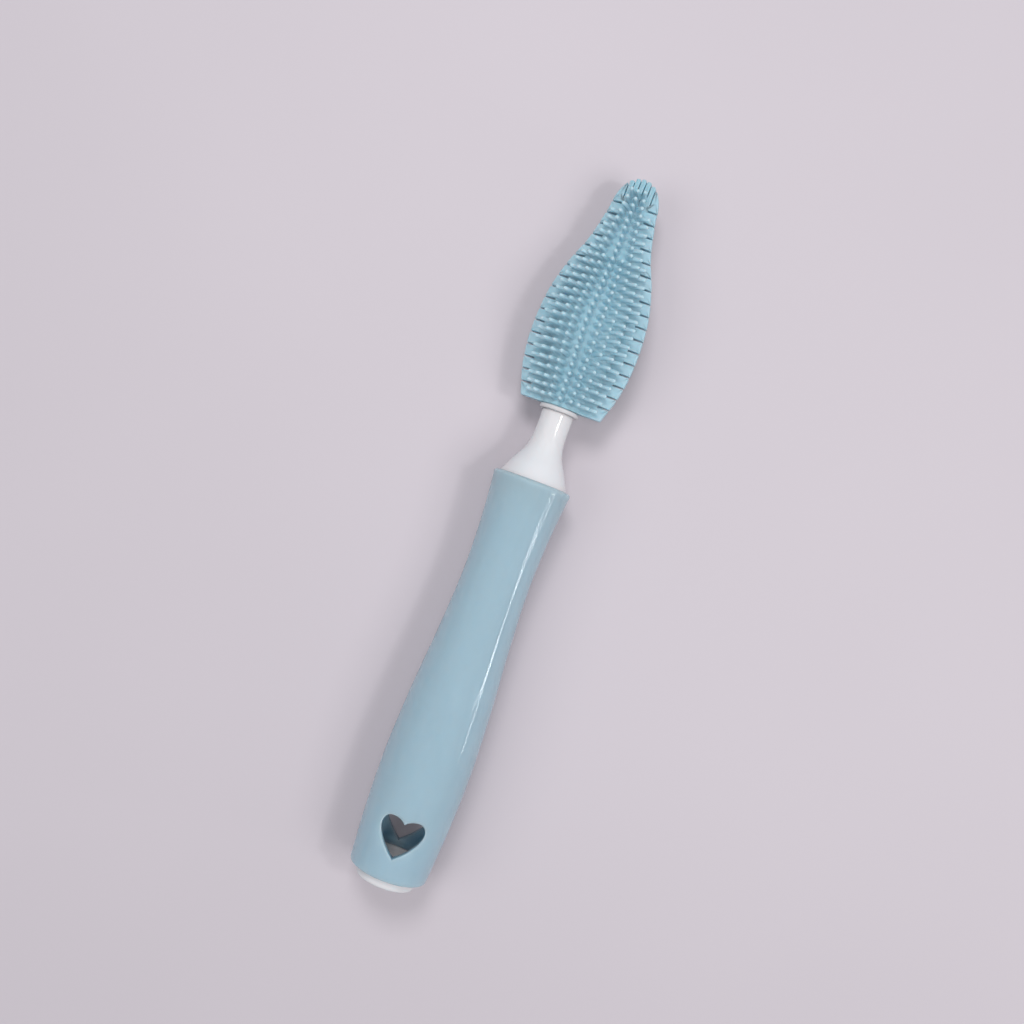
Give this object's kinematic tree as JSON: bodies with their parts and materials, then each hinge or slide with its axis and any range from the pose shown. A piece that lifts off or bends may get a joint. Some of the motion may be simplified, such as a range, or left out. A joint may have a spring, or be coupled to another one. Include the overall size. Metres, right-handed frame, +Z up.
{
  "type": "pet toothbrush",
  "caption": "Pet toothbrush with a soft double-sided bristle head, white plug-in neck and hollow barrel grip that has a heart-shaped hanging hole.",
  "frame": {"origin": "on the surface the brush lies on, under the middle of its length and width", "axes": "+Y along the brush from the end cap to the nose of the head, +Z up, out of the side of the grip that shows the heart the right way round for a viewer with the head up"},
  "size_m": [0.0278, 0.1868, 0.0225],
  "materials": {
    "grip_plastic": "satin light blue moulded plastic",
    "white_plastic": "glossy white moulded plastic",
    "milky_plastic": "satin milky white moulded plastic",
    "blue_silicone": "soft matte light blue silicone"
  },
  "bodies": {
    "handle": {"handle_shell": "grip_plastic"},
    "cap": {"end_cap": "white_plastic"},
    "stem": {"stem": "white_plastic"},
    "head": {"head_core": "milky_plastic", "brush_head": "blue_silicone"}
  },
  "joints": [
    {"name": "cap_pull", "type": "slide", "parent": "handle", "child": "cap", "axis": [0, -1, 0], "range_m": [0, 0.009]},
    {"name": "stem_pull", "type": "slide", "parent": "handle", "child": "stem", "axis": [0, 1, 0], "range_m": [0, 0.024]},
    {"name": "head_pull", "type": "slide", "parent": "stem", "child": "head", "axis": [0, 1, 0], "range_m": [0, 0.016]}
  ]
}
